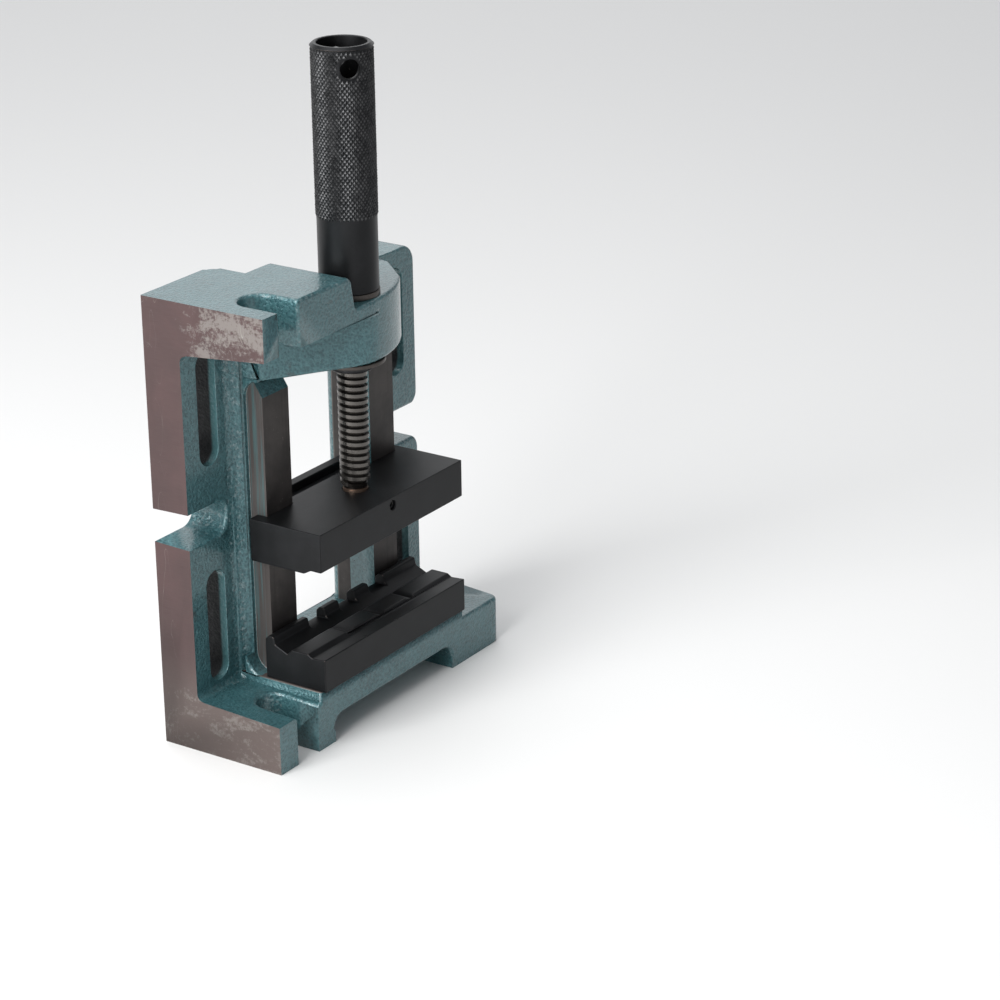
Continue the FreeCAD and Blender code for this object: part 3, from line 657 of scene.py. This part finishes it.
def knurlTree():
    make = PointTree("knurlPoints")
    columns = make.size("Columns", "NodeSocketInt", 8)
    rows = make.size("Rows", "NodeSocketInt", 4)
    radius = make.size("Radius", "NodeSocketFloat", 0.01)
    low = make.size("Lowest", "NodeSocketFloat", 0.0)
    step = make.size("Row Step", "NodeSocketFloat", 0.001)
    high = make.size("Point Height", "NodeSocketFloat", 0.0005)
    wide = make.size("Point Half Width", "NodeSocketFloat", 0.001)
    tall = make.size("Point Stretch", "NodeSocketFloat", 1.0)
    holeZ = make.size("Hole Height", "NodeSocketFloat", 0.0)
    holeTurn = make.size("Hole Direction", "NodeSocketFloat", 0.0)
    holeClear = make.size("Hole Clearance", "NodeSocketFloat", 0.005)
    uneven = make.size("Unevenness", "NodeSocketFloat", 0.0)
    seed = make.size("Seed", "NodeSocketInt", 1)
    finish = make.size("Material", "NodeSocketMaterial", None)

    index = make.add("GeometryNodeInputIndex", {}, {})
    row = (index / columns).math("FLOOR")
    column = index - row * columns
    turn = (column + (row.math("MODULO", 2.0)) * 0.5) * 2 * math.pi / columns
    x = turn.math("COSINE") * radius
    y = turn.math("SINE") * radius
    z = low + row * step
    place = make.add("ShaderNodeCombineXYZ", {}, {0: x, 1: y, 2: z})
    line = make.add("GeometryNodeMeshLine", {}, {"Count": columns * rows})
    spots = make.add("GeometryNodeSetPosition", {}, {"Geometry": line, "Position": place})

    aside = holeTurn.math("COSINE") * y - holeTurn.math("SINE") * x
    fromHole = (aside * aside + (z - holeZ) * (z - holeZ)).math("SQRT")
    spots = make.add("GeometryNodeDeleteGeometry", {"domain": "POINT"},
                     {"Geometry": spots, "Selection": fromHole < holeClear})

    cone = make.add("GeometryNodeMeshCone", {"fill_type": "NONE"},
                    {"Vertices": 4, "Radius Top": 0.0, "Radius Bottom": wide, "Depth": high})
    stretch = make.add("ShaderNodeCombineXYZ", {}, {0: 1.0, 1: 1.0, 2: tall})
    point = make.add("GeometryNodeTransform", {}, {"Geometry": cone, "Rotation": (0.0, math.pi / 2, 0.0)})
    point = make.add("GeometryNodeTransform", {}, {"Geometry": point, "Scale": stretch})
    jitter = make.add("FunctionNodeRandomValue", {"data_type": "FLOAT"}, {"Seed": seed}, 1)
    reach = 1 - jitter * uneven
    size = make.add("ShaderNodeCombineXYZ", {}, {0: reach, 1: 1.0, 2: 1.0})
    spot = make.add("GeometryNodeInputPosition", {}, {})
    parts = make.add("ShaderNodeSeparateXYZ", {}, {0: spot}).socket.node
    outward = Signal(make, parts.outputs[1]).math("ARCTAN2", Signal(make, parts.outputs[0]))
    facing = make.add("ShaderNodeCombineXYZ", {}, {2: outward})
    grown = make.add("GeometryNodeInstanceOnPoints", {},
                     {"Points": spots, "Instance": point, "Rotation": facing, "Scale": size})
    real = make.add("GeometryNodeRealizeInstances", {}, {"Geometry": grown})
    done = make.add("GeometryNodeSetMaterial", {}, {"Geometry": real, "Material": finish})
    make.tree.links.new(done.socket, make.end.inputs[0])
    return make.tree


def knurling():
    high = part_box("handle")[1].z
    low = high - grip["zoneLow"] + grip["plainLow"]
    values = {"Columns": grip["columns"],
              "Rows": int((high - grip["plainTop"] - low) / grip["rowStep"]) + 1,
              "Radius": grip["core"] - 0.03 * mm, "Lowest": low, "Row Step": grip["rowStep"],
              "Point Height": grip["pointHigh"], "Point Half Width": grip["pointWide"],
              "Point Stretch": grip["tall"], "Hole Height": high - grip["holeDrop"],
              "Hole Direction": math.radians(grip["holeTurn"]), "Hole Clearance": grip["holeClear"],
              "Unevenness": grip["unevenness"], "Seed": grip["seed"], "Material": finishes["knurl"]}
    holder = bpy.data.objects.new("knurlSource", bpy.data.meshes.new("knurlSource"))
    bpy.context.scene.collection.objects.link(holder)
    nodes = holder.modifiers.new("knurl", "NODES")
    nodes.node_group = knurlTree()
    for item in nodes.node_group.interface.items_tree:
        if item.in_out == "INPUT":
            nodes[item.identifier] = values[item.name]
    mesh = settled(holder)
    tips = mesh.attributes.new("edgeWear", "FLOAT", "POINT")
    reach = grip["core"] + grip["pointHigh"] * 0.5
    tips.data.foreach_set("value", [float(math.hypot(v.co.x, v.co.y) > reach) for v in mesh.vertices])
    return mesh


addPiece("handleCore", handleCore(), "handle_nut", "blackened_handle", "handle")
points = addPiece("handleKnurling", knurling(), "handle_nut", "blackened_handle")
print("handle ready:", len(points.data.polygons), "knurl faces")


thread = {"pitch": 3.0 * mm, "crest": 6.25 * mm, "root": 4.95 * mm, "buried": 4.7 * mm, "neck": 5.3 * mm,
          "start": 0.7 * mm, "crestHalf": 0.72 * mm, "rootHalf": 1.15 * mm, "steps": 44, "sides": 48,
          "endTaper": 0.6}


def screwBar(shape, low, neckTop, high):
    profile = [(thread["neck"], low), (thread["neck"], neckTop), (thread["root"], neckTop),
               (thread["root"], high)]
    rings = [ring(shape, radius, z, thread["sides"]) for radius, z in profile]
    for lower, upper in zip(rings, rings[1:]):
        bridged(shape, lower, upper)
    shape.faces.new(list(reversed(rings[0])))
    shape.faces.new(rings[-1])


def screwRidge(shape, low, high):
    # left-hand ridge: it climbs as it turns clockwise, seen from above
    margin = thread["rootHalf"]
    turns = (high - low - 2 * margin) / thread["pitch"]
    count = int(turns * thread["steps"])
    before = None
    for i in range(count + 1):
        done = i / count
        angle = -2 * math.pi * turns * done
        z = low + margin + (high - low - 2 * margin) * done
        grown = min(1.0, done * turns / thread["endTaper"], (1 - done) * turns / thread["endTaper"])
        crest = thread["buried"] + (thread["crest"] - thread["buried"]) * max(grown, 0.02)
        corners = [(thread["buried"], -thread["rootHalf"]), (crest, -thread["crestHalf"]),
                   (crest, thread["crestHalf"]), (thread["buried"], thread["rootHalf"])]
        section = [shape.verts.new((r * math.cos(angle), r * math.sin(angle), z + dz)) for r, dz in corners]
        if before:
            for j in range(4):
                k = (j + 1) % 4
                shape.faces.new((before[j], before[k], section[k], section[j]))
        else:
            shape.faces.new(section)
        before = section
    shape.faces.new(list(reversed(before)))


def leadScrew():
    low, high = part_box("lead_screw")
    shape = bmesh.new()
    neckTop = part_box("moving_jaw")[1].z + thread["start"]
    screwBar(shape, low.z, neckTop, high.z)
    screwRidge(shape, neckTop, high.z)
    bmesh.ops.recalc_face_normals(shape, faces=shape.faces)
    mesh = bpy.data.meshes.new("leadScrew")
    shape.to_mesh(mesh)
    shape.free()
    crest = mesh.attributes.new("crest", "FLOAT", "POINT")
    limit = thread["crest"] - 0.3 * mm
    crest.data.foreach_set("value", [float(math.hypot(v.co.x, v.co.y) > limit) for v in mesh.vertices])
    mesh.materials.append(finishes["thread"])
    return mesh


addPiece("leadScrew", leadScrew(), "jaw_carriage", "screw_steel", "lead_screw")
print("lead screw ready")


studio = {"floor": 12.0, "floorColour": (0.8, 0.8, 0.79), "world": (0.93, 0.95, 1.0), "worldLevel": 0.36}


def floor():
    finish = Finish("paleFloor", Roughness=0.6)
    tone = finish.noise(0.35, 3.0).between(0.94, 1.0)
    grain = finish.noise(2 * mm, 2.0)
    finish.feed(Base_Color=finish.blend(tone, (0.72, 0.72, 0.71), studio["floorColour"]),
                Normal=finish.relief(grain, 0.02 * mm))
    half = studio["floor"] / 2
    mesh = bpy.data.meshes.new("floor")
    corners = [(-half, -half, 0), (half, -half, 0), (half, half, 0), (-half, half, 0)]
    mesh.from_pydata(corners, [], [(0, 1, 2, 3)])
    mesh.materials.append(finish.material)
    plane = bpy.data.objects.new("floor", mesh)
    plane.location.z = -0.05 * mm
    bpy.context.scene.collection.objects.link(plane)


softboxes = {
    "left": {"at": (-1.15, 0.1, 0.7), "to": (0.0, 0.0, 0.1), "size": (0.9, 0.9), "power": 24},
    "top": {"at": (-0.2, 0.2, 1.5), "to": (0.0, 0.0, 0.1), "size": (1.3, 1.0), "power": 11},
    "back": {"at": (1.5, 1.2, 1.0), "to": (0.0, 0.0, 0.15), "size": (2.4, 1.3), "power": 9},
}


def lights():
    for name, box in softboxes.items():
        lamp = bpy.data.lights.new(name, "AREA")
        lamp.shape = "RECTANGLE"
        lamp.size, lamp.size_y = box["size"]
        lamp.energy = box["power"]
        holder = bpy.data.objects.new(name, lamp)
        holder.location = box["at"]
        aim = Vector(box["to"]) - Vector(box["at"])
        holder.rotation_euler = aim.to_track_quat("-Z", "Y").to_euler()
        bpy.context.scene.collection.objects.link(holder)
    world = bpy.data.worlds.new("studio")
    world.use_nodes = True
    world.node_tree.nodes["Background"].inputs[0].default_value = (*studio["world"], 1.0)
    world.node_tree.nodes["Background"].inputs[1].default_value = studio["worldLevel"]
    bpy.context.scene.world = world


view = {"azimuth": -56.16, "elevation": 21.56, "roll": -0.75, "lens": 110.63, "distance": 1.3211,
        "aim": (0.0747, -0.0214, 0.0677)}


def camera():
    azimuth, elevation, roll = (math.radians(view[k]) for k in ("azimuth", "elevation", "roll"))
    back = Vector((math.sin(azimuth) * math.cos(elevation), -math.cos(azimuth) * math.cos(elevation),
                   math.sin(elevation)))
    right = Vector((math.cos(azimuth), math.sin(azimuth), 0.0))
    up = back.cross(right)
    tiltedRight = right * math.cos(roll) + up * math.sin(roll)
    tiltedUp = up * math.cos(roll) - right * math.sin(roll)
    data = bpy.data.cameras.new("camera")
    data.lens = view["lens"]
    data.sensor_width = 36
    data.clip_start = 0.05
    holder = bpy.data.objects.new("camera", data)
    turn = Matrix((tiltedRight, tiltedUp, back)).transposed().to_4x4()
    holder.matrix_world = Matrix.Translation(Vector(view["aim"]) + back * view["distance"]) @ turn
    bpy.context.scene.collection.objects.link(holder)
    bpy.context.scene.camera = holder


floor()
lights()
camera()
bpy.context.scene.view_settings.view_transform = "Standard"
print("studio ready")
